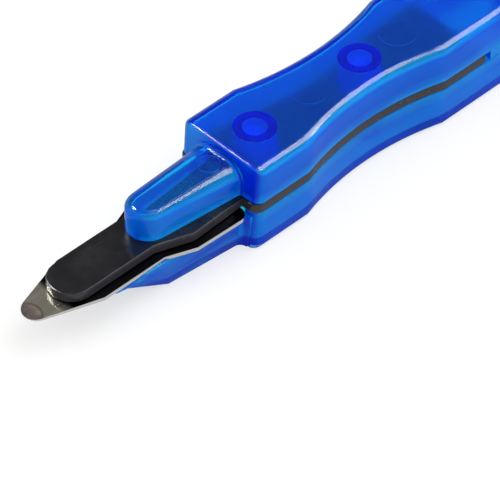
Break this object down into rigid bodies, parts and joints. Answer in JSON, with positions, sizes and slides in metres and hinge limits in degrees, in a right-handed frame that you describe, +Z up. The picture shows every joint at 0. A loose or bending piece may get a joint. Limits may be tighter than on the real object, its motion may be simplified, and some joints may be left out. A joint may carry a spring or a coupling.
{
  "type": "staple remover",
  "caption": "Push-style staple remover: a translucent waisted handle whose flat steel blade, black tongue and domed nose slide under a staple and lift it out.",
  "frame": {"origin": "midway along the whole length and width, on the plane that the handle's flat underside rests on", "axes": "+X along the length towards the blade's tip, +Y across the handle, +Z up from the underside to the top"},
  "size_m": [0.1352, 0.0204, 0.0188],
  "materials": {
    "shell": "glossy translucent blue moulding",
    "frame": "satin-gloss black moulding",
    "blade": "bright rolled spring steel with ground tip",
    "magnet": "matt dark grey ferrite"
  },
  "bodies": {
    "root": {"upper_shell": "shell", "lower_shell": "shell", "inner_frame": "frame", "blade": "blade", "magnet": "magnet"}
  },
  "joints": []
}
